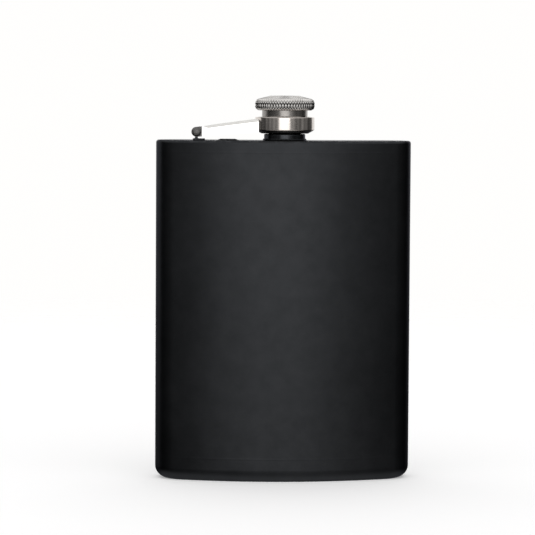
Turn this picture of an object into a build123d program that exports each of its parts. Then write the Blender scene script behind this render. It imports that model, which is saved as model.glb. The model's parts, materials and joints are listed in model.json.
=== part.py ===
from build123d import *
import os

# Stainless hip flask with a captive screw cap. Millimetres.
# +X is the right-hand side, -Y is the bulged front, +Z is up. The origin is on the table, under the
# middle of the flask's bounding box. The back is hollowed to lie against a hip.

# ---------------------------------------------------------------- driving dimensions
body_width = 95.0
body_depth = 26.0            # from the front's crown to the back of the rounded sides
middle_thickness = 22.4      # front to back in the middle, where the back is hollowed
side_radius = 9.5            # the rounded left and right sides
shoulder_z = 126.0           # top face of the body
wall = 0.6                   # sheet thickness of the shell
base_pan_height = 8.0
base_corner_side = 4.5       # lower corners, seen from the front
base_corner_front = 1.5      # lower edge, seen from the side
ground_off = 0.02            # left off the underside of the base to make it flat
top_pan_height = 4.0
top_plate_thickness = 0.8
top_corner_radius = 1.0
weld_width = 0.8

thread_pitch = 1.5
cap_turns = 2.0              # turns from tight to free of the spout
cap_lift = thread_pitch * cap_turns

spout_bore_r = 5.0
spout_tube_r = 6.0
spout_thread_r = 6.35        # over the thread's crests
spout_collar_r = 7.65
spout_collar_height = 2.4
spout_height = 9.0
spout_thread_start = 5.5     # above the shoulder
spout_hole_r = 6.6           # hole in the top plate
spout_lip_r = 7.2            # lip under the top plate
spout_lip_thickness = 0.8

cap_r = 11.05                # knurled head, and the ring below it
sleeve_r = 8.45
sleeve_bottom = 3.6          # this and the next heights are above the shoulder
head_bottom = 11.1
head_shoulder = 15.1         # where the rim and the sloping top would meet, if the rim weren't round
head_top = 16.6
head_flat_r = 5.0            # flat middle of the head's top
head_round_top = 1.8
head_round_bottom = 1.6
insert_bore_r = 6.8
insert_r = 7.65
gasket_r = 6.5
flange_r = 10.0
flange_thickness = 0.7
flange_gap = 0.4             # from the closing ring up to the cap's flange

ring_bore_r = 8.55
ring_wall = 0.7
ring_bottom = 3.9
ring_corner = 8.6            # top of the ring's outer wall
ring_top = 9.0               # inner edge of its sloping top
ring_ceiling = 7.6           # underside of its top, where the cap's flange stops
closing_ring_bottom = 2.6
closing_ring_r = 8.0

pin_x = -32.7
pin_height = 3.0             # above the shoulder
pin_r = 0.8
pin_clearance = 0.05
pin_head_r = 1.65
pin_head_thickness = 0.7
knuckle_r = 1.6
knuckle_width = 4.0
foot_size = (4.4, 5.0, 0.6)
foot_offset = 0.9            # the foot's middle, to the right of the pin
stem_thickness = 1.0
bracket_bead = 0.4

ear_r = 1.8
ear_gap = 4.3                # between the arm's two ears
arm_sheet = 0.8
arm_root_width = 10.0        # across the arm where it meets the ring
arm_root_low = 4.0
arm_root_high = 7.9
ear_length = 4.0             # straight run of the ears from the pin

rest_pad_x = -21.0
rest_pad_size = (8.4, 6.0, 0.5)
rest_pad_ramp = 1.5

# ---------------------------------------------------------------- derived places
front_y = -body_depth / 2
side_centre = Vector(body_width / 2 - side_radius, body_depth / 2 - side_radius)
cap_y = front_y + middle_thickness / 2
pin_z = shoulder_z + pin_height
cap_axis = Location((0, cap_y, shoulder_z))
arm_pivot = Location((pin_x, cap_y, pin_z))


# ---------------------------------------------------------------- helpers
def tangent_radius(apex_y, bulge):
    """Radius of the arc through (0, apex_y), centred behind it, that meets the round sides smoothly.

    bulge is 1 for the front, which wraps the sides from outside, and -1 for the hollowed back.
    """
    rise = side_centre.Y - apex_y
    return (side_centre.X**2 + rise**2 - side_radius**2) / (2 * (rise - bulge * side_radius))


front_radius = tangent_radius(front_y, 1)
back_radius = tangent_radius(front_y + middle_thickness, -1)
front_centre = Vector(0, front_y + front_radius)
back_centre = Vector(0, front_y + middle_thickness + back_radius)


def section(inset=0.0):
    """Kidney outline of the flask: bulged front, hollowed back and round sides, all tangent."""
    radius = side_radius - inset
    front_joint = side_centre + (side_centre - front_centre).normalized() * radius
    back_joint = side_centre + (back_centre - side_centre).normalized() * radius
    side = side_centre + Vector(radius, 0)
    front = Vector(0, front_y + inset)
    back = Vector(0, front_y + middle_thickness - inset)
    left = [Vector(-point.X, point.Y) for point in (front_joint, side, back_joint)]
    return make_face([
        ThreePointArc(left[0], front, front_joint).edge(),
        ThreePointArc(front_joint, side, back_joint).edge(),
        ThreePointArc(back_joint, back, left[2]).edge(),
        ThreePointArc(left[2], left[1], left[0]).edge(),
    ])


def block_of_section(low, high, inset=0.0):
    return Pos(0, 0, low) * extrude(section(inset), high - low)


def shell_band(low, high):
    """A stretch of the flask's sheet wall."""
    return block_of_section(low, high) - block_of_section(low, high, wall)


def turned(points):
    """A turned ring or plug about the cap's axis, from (radius, height above the shoulder) points."""
    outline = make_face(Polyline(*[(r, 0, z) for r, z in points], close=True))
    return cap_axis * revolve(outline, Axis.Z)


def rod_y(radius, low, high):
    """A round bar along Y, centred on the arm's pivot."""
    bar = Rot(-90, 0, 0) * Cylinder(radius, high - low, align=(Align.CENTER, Align.CENTER, Align.MIN))
    return Pos(0, low, 0) * bar


def plate_xz(points, width):
    """A side profile in the pivot's XZ plane, given width across Y."""
    outline = make_face(Polyline(*[(x, 0, z) for x, z in points], close=True))
    return extrude(outline, width / 2, dir=(0, 1, 0), both=True)


# ---------------------------------------------------------------- flask body
seam_gap = Pos(body_width / 2, side_centre.Y, shoulder_z / 2) * Box(4, weld_width, shoulder_z)
wall_low = base_pan_height + weld_width
wall_high = shoulder_z - top_pan_height - weld_width


def body_wall():
    """Sheet wrapped round into a tube, open along its right-hand seam."""
    return shell_band(wall_low, wall_high) - seam_gap


def side_seam_weld():
    """Weld that closes the tube, ground flush."""
    return shell_band(wall_low, wall_high) & seam_gap


def pan_block(low, inset):
    """Section block whose lower edge is rounded more at the sides than at the front and back.

    It is rounded while stretched from front to back, so the round narrows when the stretch is undone.
    Then a hair is ground off its underside, which leaves it truly flat.
    """
    stretch = base_corner_side / base_corner_front
    block = scale(block_of_section(low - ground_off, base_pan_height, inset), by=(1, stretch, 1))
    block = fillet(block.edges().group_by(Axis.Z)[0], base_corner_side - inset)
    block = scale(block, by=(1, 1 / stretch, 1))
    upright = (Align.CENTER, Align.CENTER, Align.MIN)
    return block & Pos(0, 0, low) * Box(2 * body_width, 2 * body_depth, base_pan_height, align=upright)


def base_pan():
    """Drawn base with rounded lower corners."""
    return pan_block(0, 0) - pan_block(wall, wall)


def top_plate():
    """Shoulder: a shallow pan turned down at its rim, with the spout's hole."""
    low = shoulder_z - top_pan_height
    outside = block_of_section(low, shoulder_z)
    outside = fillet(outside.edges().group_by(Axis.Z)[-1], top_corner_radius)
    inside = block_of_section(low, shoulder_z - top_plate_thickness, wall)
    inside = fillet(inside.edges().group_by(Axis.Z)[-1], top_corner_radius - wall / 2)
    hole = cap_axis * Cylinder(spout_hole_r, 4 * top_plate_thickness)
    return outside - inside - hole


def top_seam_weld():
    return shell_band(wall_high, wall_high + weld_width)


def base_seam_weld():
    return shell_band(base_pan_height, base_pan_height + weld_width)


def spout():
    """Turned neck: a lip under the plate, a collar on it, then a plain tube and the threaded end."""
    plate = top_plate_thickness
    return turned([
        (spout_bore_r, -plate - spout_lip_thickness),
        (spout_lip_r, -plate - spout_lip_thickness),
        (spout_lip_r, -plate),
        (spout_hole_r, -plate),
        (spout_hole_r, 0),
        (spout_collar_r, 0),
        (spout_collar_r, spout_collar_height - 0.3),
        (spout_collar_r - 0.3, spout_collar_height),
        (spout_tube_r, spout_collar_height),
        (spout_tube_r, spout_thread_start - 0.3),
        (spout_thread_r, spout_thread_start),
        (spout_thread_r, spout_height - 0.5),
        (spout_tube_r - 0.05, spout_height),
        (spout_bore_r, spout_height),
    ])


def spout_weld():
    """Fillet weld round the foot of the collar."""
    return turned([
        (spout_collar_r, 0),
        (spout_collar_r + 0.9, 0),
        (spout_collar_r + 0.35, 0.18),
        (spout_collar_r, 0.55),
    ])


def rest_pad():
    """Low welded pad on the shoulder under the arm."""
    length, width, height = rest_pad_size
    profile = make_face(Polyline(
        (-length / 2, 0, 0),
        (length / 2, 0, 0),
        (length / 2 - rest_pad_ramp, 0, height),
        (-length / 2 + rest_pad_ramp, 0, height),
        close=True,
    ))
    pad = extrude(profile, width / 2, dir=(0, 1, 0), both=True)
    return Pos(rest_pad_x, cap_y, shoulder_z) * pad


# ---------------------------------------------------------------- hinge on the shoulder
def hinge_bracket():
    """Folded foot, upright stem and a knuckle round the pin."""
    length, width, thickness = foot_size
    bottom = (Align.CENTER, Align.CENTER, Align.MIN)
    foot = Pos(foot_offset, 0, -pin_height) * Box(length, width, thickness, align=bottom)
    foot = fillet(foot.edges().filter_by(Axis.Z), 0.8)
    stem = Pos(0, 0, -pin_height) * Box(stem_thickness, knuckle_width, pin_height, align=bottom)
    knuckle = rod_y(knuckle_r, -knuckle_width / 2, knuckle_width / 2)
    bore = rod_y(pin_r + pin_clearance, -knuckle_width, knuckle_width)
    return arm_pivot * (foot + stem + knuckle - bore)


def bracket_welds():
    """Beads along the foot's front and back edges."""
    length, width, thickness = foot_size
    run = length - 1.8
    beads = []
    for side in (-1, 1):
        profile = make_face(Polyline(
            (0, side * width / 2, 0),
            (0, side * (width / 2 + bracket_bead), 0),
            (0, side * width / 2, bracket_bead),
            close=True,
        ))
        bead = extrude(profile, run / 2, dir=(1, 0, 0), both=True)
        beads.append(arm_pivot * Pos(foot_offset, 0, -pin_height) * bead)
    return Compound(children=beads)


def hinge_pin():
    """Rivet through the arm's ears and the knuckle, with a domed head at each end."""
    half = ear_gap / 2 + arm_sheet
    pin = rod_y(pin_r, -half, half)
    for side in (-1, 1):
        low, high = sorted((side * half, side * (half + pin_head_thickness)))
        head = rod_y(pin_head_r, low, high)
        rim = head.edges().group_by(Axis.Y)[-1 if side > 0 else 0]
        pin += fillet(rim, pin_head_thickness * 0.8)
    return arm_pivot * pin


# ---------------------------------------------------------------- captive arm and its ring
def arm_side(inset, low_extra):
    """Side profile from the ears out to the ring, lowered by inset under its top edge."""
    reach = -pin_x
    root_high = arm_root_high - pin_height - inset
    root_low = arm_root_low - pin_height - low_extra
    return plate_xz([
        (0, -ear_r - low_extra),
        (reach, root_low),
        (reach, root_high),
        (reach - cap_r, root_high),
        (0, ear_r - inset),
    ], 2 * arm_root_width)


def arm_plan(half_width, half_root):
    """Outline from above: straight by the ears, then widening to the ring."""
    reach = -pin_x
    outline = make_face(Polyline(
        (-ear_r, -half_width),
        (ear_length, -half_width),
        (reach - cap_r, -half_root),
        (reach, -half_root),
        (reach, half_root),
        (reach - cap_r, half_root),
        (ear_length, half_width),
        (-ear_r, half_width),
        close=True,
    ))
    return extrude(outline, 20, both=True)


def captive_arm():
    """Pressed channel: a web on top and a flange down each side, forked at the pin."""
    half_gap = ear_gap / 2
    half_root = arm_root_width / 2
    outside = arm_side(0, 0) + rod_y(ear_r, -arm_root_width, arm_root_width)
    outside = outside & arm_plan(half_gap + arm_sheet, half_root)
    channel = arm_side(arm_sheet, 5) & arm_plan(half_gap, half_root - arm_sheet)
    fork = rod_y(knuckle_r + 0.5, -half_gap, half_gap)
    slot = Pos(-ear_r, 0, 0) * Box(2 * ear_r, ear_gap, 4 * ear_r)
    holes = rod_y(pin_r, -arm_root_width, arm_root_width)
    ring = Pos(-pin_x, 0, 0) * Cylinder(cap_r, 40)
    return arm_pivot * (outside - channel - fork - slot - holes - ring)


def ring_shell():
    """Ring that carries the cap: its top turns in under the head and holds the cap's flange down."""
    return turned([
        (cap_r - ring_wall, ring_bottom),
        (cap_r, ring_bottom),
        (cap_r, ring_corner),
        (ring_bore_r + 0.3, ring_top),
        (ring_bore_r, ring_top - 0.15),
        (ring_bore_r, ring_ceiling),
        (cap_r - ring_wall, ring_ceiling),
    ])


def closing_ring():
    """Chamfered ring that closes the shell from below once the cap is in."""
    inside_r = cap_r - ring_wall
    floor = closing_ring_bottom + 0.8
    return turned([
        (closing_ring_r, closing_ring_bottom),
        (closing_ring_r + 0.7, closing_ring_bottom),
        (cap_r, ring_bottom),
        (inside_r, ring_bottom),
        (inside_r - 0.75, floor),
        (closing_ring_r, floor),
    ])


# ---------------------------------------------------------------- cap
flange_bottom = closing_ring_bottom + 0.8 + flange_gap
gasket_bottom = spout_height + 0.02
gasket_top = spout_height + 1.0
insert_roof = 1.0
sleeve_top = head_bottom + 1.4
head_hollow_top = head_top - 1.7


def cap_gasket():
    """Silicone disc that seals on the spout's rim."""
    return turned([(0, gasket_bottom), (gasket_r, gasket_bottom), (gasket_r, gasket_top), (0, gasket_top)])


def thread_insert():
    """Moulded cup with the female thread, pressed into the sleeve."""
    return turned([
        (insert_bore_r + 0.4, sleeve_bottom),
        (insert_r, sleeve_bottom),
        (insert_r, gasket_top + insert_roof),
        (0, gasket_top + insert_roof),
        (0, gasket_top),
        (insert_bore_r, gasket_top),
        (insert_bore_r, sleeve_bottom + 0.5),
    ])


def cap_sleeve():
    """Steel tube that joins the head to the flange and turns in the ring."""
    return turned([
        (insert_r, sleeve_bottom),
        (sleeve_r, sleeve_bottom),
        (sleeve_r, sleeve_top),
        (insert_r, sleeve_top),
    ])


def retaining_flange():
    """Washer swaged on the sleeve's foot: it lifts the cap's ring when the cap is pulled."""
    return turned([
        (sleeve_r, flange_bottom),
        (flange_r, flange_bottom),
        (flange_r, flange_bottom + flange_thickness),
        (sleeve_r, flange_bottom + flange_thickness),
    ])


def cap_head():
    """Turned head with a round knurled rim, a sloping shoulder and a flat top, hollow inside."""
    head = turned([
        (sleeve_r, head_bottom),
        (cap_r, head_bottom),
        (cap_r, head_shoulder),
        (head_flat_r, head_top),
        (0, head_top),
        (0, head_hollow_top),
        (insert_r, head_hollow_top),
        (insert_r, sleeve_top),
        (sleeve_r, sleeve_top),
    ])
    for end, radius in ((0, head_round_bottom), (-1, head_round_top)):
        rims = head.edges().filter_by(GeomType.CIRCLE).group_by(SortBy.RADIUS)[-1]
        head = fillet(rims.sort_by(Axis.Z)[end], radius)
    return head


# ---------------------------------------------------------------- write every node
nodes = {
    "body_wall": body_wall,
    "side_seam_weld": side_seam_weld,
    "base_pan": base_pan,
    "base_seam_weld": base_seam_weld,
    "top_plate": top_plate,
    "top_seam_weld": top_seam_weld,
    "spout": spout,
    "spout_weld": spout_weld,
    "rest_pad": rest_pad,
    "hinge_bracket": hinge_bracket,
    "bracket_welds": bracket_welds,
    "hinge_pin": hinge_pin,
    "captive_arm": captive_arm,
    "ring_shell": ring_shell,
    "closing_ring": closing_ring,
    "cap_gasket": cap_gasket,
    "thread_insert": thread_insert,
    "cap_sleeve": cap_sleeve,
    "retaining_flange": retaining_flange,
    "cap_head": cap_head,
}

os.makedirs("parts", exist_ok=True)
for name, build in nodes.items():
    export_step(build(), f"parts/{name}.step")
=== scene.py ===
import bpy
import bmesh
import json
import math
from mathutils import Euler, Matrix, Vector


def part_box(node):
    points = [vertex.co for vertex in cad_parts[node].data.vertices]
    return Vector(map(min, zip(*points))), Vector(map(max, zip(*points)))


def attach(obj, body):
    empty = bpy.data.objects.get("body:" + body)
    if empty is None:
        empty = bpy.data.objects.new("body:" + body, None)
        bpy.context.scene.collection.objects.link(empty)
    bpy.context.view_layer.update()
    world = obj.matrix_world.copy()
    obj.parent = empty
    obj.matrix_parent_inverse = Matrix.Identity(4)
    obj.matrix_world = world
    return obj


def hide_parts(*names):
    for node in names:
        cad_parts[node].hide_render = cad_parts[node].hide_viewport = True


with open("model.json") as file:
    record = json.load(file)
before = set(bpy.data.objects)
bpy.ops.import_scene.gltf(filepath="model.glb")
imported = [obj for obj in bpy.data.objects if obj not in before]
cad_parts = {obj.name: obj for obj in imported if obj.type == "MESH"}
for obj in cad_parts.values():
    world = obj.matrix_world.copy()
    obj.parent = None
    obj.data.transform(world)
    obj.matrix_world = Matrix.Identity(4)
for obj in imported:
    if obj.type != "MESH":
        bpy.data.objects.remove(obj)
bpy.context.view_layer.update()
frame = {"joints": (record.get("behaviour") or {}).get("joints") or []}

# ------------------------------------------------------------------ places and sizes from the frame
MM = 0.001
joints = {joint["name"]: joint for joint in frame["joints"]}
PIN = Vector(joints["arm_hinge"]["pos_m"])
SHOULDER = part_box("top_plate")[1].z
CAP_FOOT = Vector((0, joints["cap_spin"]["pos_m"][1], SHOULDER))   # the cap's axis, on the shoulder

WALL_LOW, WALL_HIGH = (corner.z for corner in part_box("body_wall"))
PAN_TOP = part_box("base_pan")[1].z
PLATE_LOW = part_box("top_plate")[0].z
SHELL_LOW, SHELL_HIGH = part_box("base_seam_weld")
HALF_WIDTH = SHELL_HIGH.x
FRONT_Y = SHELL_LOW.y
BACK_Y = SHELL_HIGH.y

# sheet metal of the flask, in metres
SHEET = 0.6 * MM
PLATE = 0.8 * MM
SIDE_RADIUS = 9.5 * MM
SIDE_CENTRE = Vector((HALF_WIDTH - SIDE_RADIUS, BACK_Y - SIDE_RADIUS))
MIDDLE_THICKNESS = 22.4 * MM
BASE_CORNER = 4.5 * MM          # lower corners, seen from the front
BASE_CORNER_DEPTH = 1.5 * MM    # how far the same round reaches in, seen from the side
TOP_CORNER = 1.0 * MM
SPOUT_HOLE = 6.6 * MM
SEAM_HALF = 0.4 * MM
SEAM_ANGLE = math.asin(SEAM_HALF / SIDE_RADIUS)


# radii about the cap's axis and heights above the shoulder, in millimetres
def turned_size(low, high):
    """Radius, bottom and top of a turned node, from the corners of its box."""
    return high.x / MM, (low.z - SHOULDER) / MM, (high.z - SHOULDER) / MM


HEAD_R, HEAD_BOTTOM, HEAD_TOP = turned_size(*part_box("cap_head"))
SLEEVE_R, SLEEVE_BOTTOM, SLEEVE_TOP = turned_size(*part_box("cap_sleeve"))
INSERT_R, _, INSERT_TOP = turned_size(*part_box("thread_insert"))
GASKET_R, GASKET_BOTTOM, GASKET_TOP = turned_size(*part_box("cap_gasket"))
FLANGE_R, FLANGE_BOTTOM, FLANGE_TOP = turned_size(*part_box("retaining_flange"))
COLLAR_R, SPOUT_LOW, SPOUT_TOP = turned_size(*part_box("spout"))
_, RING_LOW, RING_TOP = turned_size(*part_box("ring_shell"))
CLOSING_R, CLOSING_LOW, _ = turned_size(*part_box("closing_ring"))
THREAD_PITCH = 1.5


# ------------------------------------------------------------------ mesh helpers
def clean(mesh, same_place):
    """Joins vertices closer than same_place and turns the faces one way."""
    bmesh.ops.remove_doubles(mesh, verts=mesh.verts, dist=same_place)
    bmesh.ops.recalc_face_normals(mesh, faces=mesh.faces)


def smooth_object(name, mesh):
    """Turns a bmesh into a smooth-shaded object in the scene."""
    data = bpy.data.meshes.new(name)
    mesh.to_mesh(data)
    mesh.free()
    data.shade_smooth()
    obj = bpy.data.objects.new(name, data)
    bpy.context.scene.collection.objects.link(obj)
    return obj


def object_from(name, mesh, smooth_angle=40):
    """Turns a bmesh into a smooth object whose edges sharper than smooth_angle degrees stay crisp."""
    clean(mesh, 1e-7)
    obj = smooth_object(name, mesh)
    obj.data.set_sharp_from_angle(angle=math.radians(smooth_angle))
    return obj


def place(obj, body, slot, material, *nodes):
    """Gives a piece its material and its body, and hides the CAD nodes it stands for. The slot is not
    used.
    """
    if not obj.data.materials:
        obj.data.materials.append(material)
    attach(obj, body)
    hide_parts(*nodes)


def weighted_normals(obj):
    """Keeps large faces looking flat beside small round edges."""
    modifier = obj.modifiers.new("weighted_normals", "WEIGHTED_NORMAL")
    modifier.keep_sharp = True
    modifier.weight = 100


def bevel(obj, width, segments=3):
    """Rounds the sharp edges."""
    modifier = obj.modifiers.new("bevel", "BEVEL")
    modifier.width = width
    modifier.segments = segments
    modifier.limit_method = "ANGLE"
    modifier.angle_limit = math.radians(35)
    modifier.harden_normals = True


def bridge(mesh, first, second, around=True):
    """Faces between two loops of vertices."""
    count = len(first)
    for k in range(count if around else count - 1):
        after = (k + 1) % count
        mesh.faces.new((first[k], first[after], second[after], second[k]))


def skin(mesh, loops, closed=False, around=True):
    """Faces from each loop of vertices to the next, and if closed from the last to the first."""
    for first, second in zip(loops, loops[1:] + loops[:1] if closed else loops[1:]):
        bridge(mesh, first, second, around)


def fill(mesh, *loops):
    """Flat faces inside the first loop, around the others."""
    edges = []
    for loop in loops:
        for a, b in zip(loop, loop[1:] + loop[:1]):
            edges.append(mesh.edges.get((a, b)) or mesh.edges.new((a, b)))
    bmesh.ops.triangle_fill(mesh, use_beauty=True, use_dissolve=False, edges=edges)


def loft(mesh, rings):
    """A closed skin through rings of points, with flat ends."""
    loops = [[mesh.verts.new(point) for point in ring] for ring in rings]
    skin(mesh, loops)
    fill(mesh, loops[0])
    fill(mesh, loops[-1])


def prism(mesh, outlines, low, high, turn):
    """Outlines (the first outside, the rest holes) given thickness from low to high.

    turn(u, v, w) gives the point for a place (u, v) in the outline at the height w.
    """
    ends = []
    for height in (low, high):
        ends.append([[mesh.verts.new(turn(u, v, height)) for u, v in outline] for outline in outlines])
        fill(mesh, *ends[-1])
    for first, second in zip(*ends):
        bridge(mesh, first, second)


def arc_points(centre, radius, start, end, steps):
    """Points along an arc, both ends included. Angles in degrees, from the first axis."""
    angles = [math.radians(start + (end - start) * k / steps) for k in range(steps + 1)]
    return [(centre[0] + radius * math.cos(a), centre[1] + radius * math.sin(a)) for a in angles]


def circle_points(centre, radius, count):
    return arc_points(centre, radius, 0, 360 - 360 / count, count - 1)


def rounded(corners, steps=5, closed=True):
    """Turns (x, z, radius) corners into a path of (x, z) points whose corners are arcs."""
    path = []
    count = len(corners)
    for index, (x, z, radius) in enumerate(corners):
        here = Vector((x, z))
        end = not closed and index in (0, count - 1)
        if radius == 0 or end:
            path.append(here)
            continue
        before = (Vector(corners[index - 1][:2]) - here).normalized()
        after = (Vector(corners[(index + 1) % count][:2]) - here).normalized()
        half = math.acos(max(-1, min(1, before.dot(after)))) / 2
        centre = here + (before + after).normalized() * radius / math.sin(half)
        start = here + before * radius / math.tan(half) - centre
        stop = here + after * radius / math.tan(half) - centre
        first = math.atan2(start.y, start.x)
        turn = math.atan2(start.x * stop.y - start.y * stop.x, start.dot(stop))
        for step in range(steps + 1):
            angle = first + turn * step / steps
            path.append(centre + radius * Vector((math.cos(angle), math.sin(angle))))
    return path


def dense(path, longest):
    """Adds points to a path so that no step is longer than the given length."""
    out = []
    for a, b in zip(path, path[1:]):
        pieces = max(1, math.ceil((b - a).length / longest))
        out += [a.lerp(b, k / pieces) for k in range(pieces)]
    return out + [path[-1]]


def lathe(name, path, columns, warp=None, closed=True):
    """Revolves an (r, z) path in millimetres about Z and stands it on the cap's foot.

    warp(r, z, angle) may return a new (r, z) for a point.
    """
    mesh = bmesh.new()
    loops = []
    for r, z in path:
        loop = []
        for column in range(columns):
            angle = 2 * math.pi * column / columns
            wr, wz = warp(r, z, angle) if warp and r > 0 else (r, z)
            loop.append(mesh.verts.new((wr * MM * math.cos(angle), wr * MM * math.sin(angle), wz * MM)))
        loops.append(loop)
    skin(mesh, loops, closed)
    obj = object_from(name, mesh)
    obj.location = CAP_FOOT
    return obj


def smoothstep(low, high, value):
    """0 below low, 1 above high, easing from one to the other between them."""
    t = max(0.0, min(1.0, (value - low) / (high - low)))
    return t * t * (3 - 2 * t)


# ------------------------------------------------------------------ material helpers
def feed(tree, socket, value):
    """Links an input to another node's output, or sets it to a plain value."""
    if isinstance(value, bpy.types.NodeSocket):
        tree.links.new(value, socket)
    else:
        socket.default_value = value


def add(tree, kind, settings=None, **inputs):
    """Adds a node: settings are its own properties, inputs are values or sockets to link."""
    node = tree.nodes.new(kind)
    for key, value in (settings or {}).items():
        setattr(node, key, value)
    for key, value in inputs.items():
        feed(tree, node.inputs[key.replace("_", " ")], value)
    return node


def math_node(tree, operation, first, second=0.0):
    node = add(tree, "ShaderNodeMath", {"operation": operation})
    for socket, value in zip(node.inputs, (first, second)):
        feed(tree, socket, value)
    return node.outputs[0]


def new_material(name, **values):
    """A material with a Principled shader. Returns it with its tree, shader and object coordinates."""
    material = bpy.data.materials.new(name)
    material.use_nodes = True
    tree = material.node_tree
    shader = tree.nodes["Principled BSDF"]
    for key, value in values.items():
        shader.inputs[key.replace("_", " ")].default_value = value
    coords = tree.nodes.new("ShaderNodeTexCoord").outputs["Object"]
    return material, tree, shader, coords


def noise_node(tree, coords, scale, detail, rough=0.5):
    node = add(tree, "ShaderNodeTexNoise", Vector=coords, Scale=scale, Detail=detail, Roughness=rough)
    return node.outputs["Fac"]


def remap(tree, value, low, high, new_low=0, new_high=1):
    """Stretches low..high to new_low..new_high and clamps what lies outside."""
    node = add(tree, "ShaderNodeMapRange", Value=value)
    for key, number in (("From Min", low), ("From Max", high), ("To Min", new_low), ("To Max", new_high)):
        node.inputs[key].default_value = number
    return node.outputs["Result"]


def mix_colours(tree, factor, first, second):
    """first where the factor is 0, second where it is 1. Each is a colour or a socket."""
    node = add(tree, "ShaderNodeMix", {"data_type": "RGBA"}, Factor=factor)
    # inputs 6 and 7 and output 2 are the ones for colours
    for socket, value in ((node.inputs[6], first), (node.inputs[7], second)):
        feed(tree, socket, (*value, 1) if isinstance(value, tuple) else value)
    return node.outputs[2]


def mix_numbers(tree, factor, first, second):
    """first where the factor is 0, second where it is 1. Each is a number or a socket."""
    node = add(tree, "ShaderNodeMix", Factor=factor)
    for socket, value in ((node.inputs["A"], first), (node.inputs["B"], second)):
        feed(tree, socket, value)
    return node.outputs["Result"]


def uneven_colour(tree, shader, mask, colour, shade):
    """Gives the shader its colour, multiplied by shade where the mask is 1."""
    tint = mix_colours(tree, mask, colour, tuple(channel * shade for channel in colour))
    tree.links.new(tint, shader.inputs["Base Color"])


def bump(tree, shader, height, distance, strength):
    node = add(tree, "ShaderNodeBump", Height=height, Distance=distance, Strength=strength)
    tree.links.new(node.outputs["Normal"], shader.inputs["Normal"])


COAT_DIM = (0.0285, 0.0300, 0.0325)
COAT_LIT = (0.0350, 0.0366, 0.0396)
COAT_SPECK = (0.052, 0.055, 0.060)
COAT_WORN = (0.10, 0.10, 0.105)
# dirt and painted shade in the knurl's grooves
GROOVE_DIRT_AND_SHADE = (0.02, 0.019, 0.018)


def black_coat(name, roughness, shine=1.0):
    """Satin black plated coat: fine orange peel, faint mottling and rims rubbed a little brighter."""
    material, tree, shader, coords = new_material(name, Metallic=1.0, Specular_Tint=(0.5, 0.5, 0.52, 1))
    mottle = noise_node(tree, coords, scale=160, detail=4, rough=0.6)
    flake = noise_node(tree, coords, scale=5200, detail=1)
    dim, lit = (tuple(shine * channel for channel in tint) for tint in (COAT_DIM, COAT_LIT))
    tint = mix_colours(tree, remap(tree, mottle, 0.3, 0.7), dim, lit)
    speck = remap(tree, flake, 0.66, 0.8, 0, 0.6)
    tint = mix_colours(tree, speck, tint, COAT_SPECK)
    height = add(tree, "ShaderNodeSeparateXYZ", Vector=coords).outputs["Z"]
    rim_height = SHOULDER - 0.35 * TOP_CORNER
    off_rim = math_node(tree, "ABSOLUTE", math_node(tree, "SUBTRACT", height, rim_height))
    rim = remap(tree, off_rim, 0, 0.5 * MM, 1, 0)
    worn = remap(tree, noise_node(tree, coords, scale=420, detail=5, rough=0.7), 0.5, 0.62, 0, 0.35)
    tint = mix_colours(tree, math_node(tree, "MULTIPLY", rim, worn), tint, COAT_WORN)
    tree.links.new(tint, shader.inputs["Base Color"])
    smears = noise_node(tree, coords, scale=38, detail=3, rough=0.65)
    gloss = remap(tree, smears, 0.3, 0.7, roughness - 0.03, roughness + 0.03)
    tree.links.new(gloss, shader.inputs["Roughness"])
    peel = noise_node(tree, coords, scale=1500, detail=2)
    grit = noise_node(tree, coords, scale=4200, detail=1)
    texture = math_node(tree, "ADD", peel, math_node(tree, "MULTIPLY", grit, 0.35))
    bump(tree, shader, texture, distance=0.02 * MM, strength=0.3)
    return material


def turned_steel(name, colour, roughness, line_scale=5000, line_depth=0.004 * MM):
    """Steel with the fine circular lines of a lathe tool, and faint handling marks."""
    material, tree, shader, coords = new_material(name, Metallic=1.0, Anisotropic=0.35)
    split = add(tree, "ShaderNodeSeparateXYZ", Vector=coords).outputs
    flat = add(tree, "ShaderNodeCombineXYZ", X=split["X"], Y=split["Y"]).outputs[0]
    radius = add(tree, "ShaderNodeVectorMath", {"operation": "LENGTH"}, Vector=flat).outputs["Value"]
    rings = add(tree, "ShaderNodeCombineXYZ", X=radius, Z=split["Z"]).outputs[0]
    lines = noise_node(tree, rings, scale=line_scale, detail=3, rough=0.7)
    marks = noise_node(tree, coords, scale=260, detail=5, rough=0.65)
    uneven_colour(tree, shader, remap(tree, marks, 0.35, 0.7), colour, 0.86)
    handled = remap(tree, marks, 0.3, 0.75, -0.02, 0.05)
    spread = math_node(tree, "ADD", handled, math_node(tree, "MULTIPLY", lines, 0.08))
    tree.links.new(math_node(tree, "ADD", spread, roughness - 0.04), shader.inputs["Roughness"])
    bump(tree, shader, lines, distance=line_depth, strength=0.5)
    tangent = add(tree, "ShaderNodeTangent", {"direction_type": "RADIAL", "axis": "Z"})
    tree.links.new(tangent.outputs[0], shader.inputs["Tangent"])
    return material


def knurled_steel(name, colour, roughness):
    """Turned steel, darkened by dirt and painted shade where the head's mesh says that a groove is."""
    material = turned_steel(name, colour, roughness, line_scale=2600, line_depth=0.003 * MM)
    tree = material.node_tree
    base = tree.nodes["Principled BSDF"].inputs["Base Color"]
    bright = base.links[0].from_socket
    groove = add(tree, "ShaderNodeAttribute", {"attribute_name": "groove"}).outputs["Fac"]
    # painted shade mixed with dirt: the base colour darkens with the groove's depth, as though shadowed
    tree.links.new(mix_colours(tree, remap(tree, groove, 0.5, 0.95), bright, GROOVE_DIRT_AND_SHADE), base)
    return material


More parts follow.
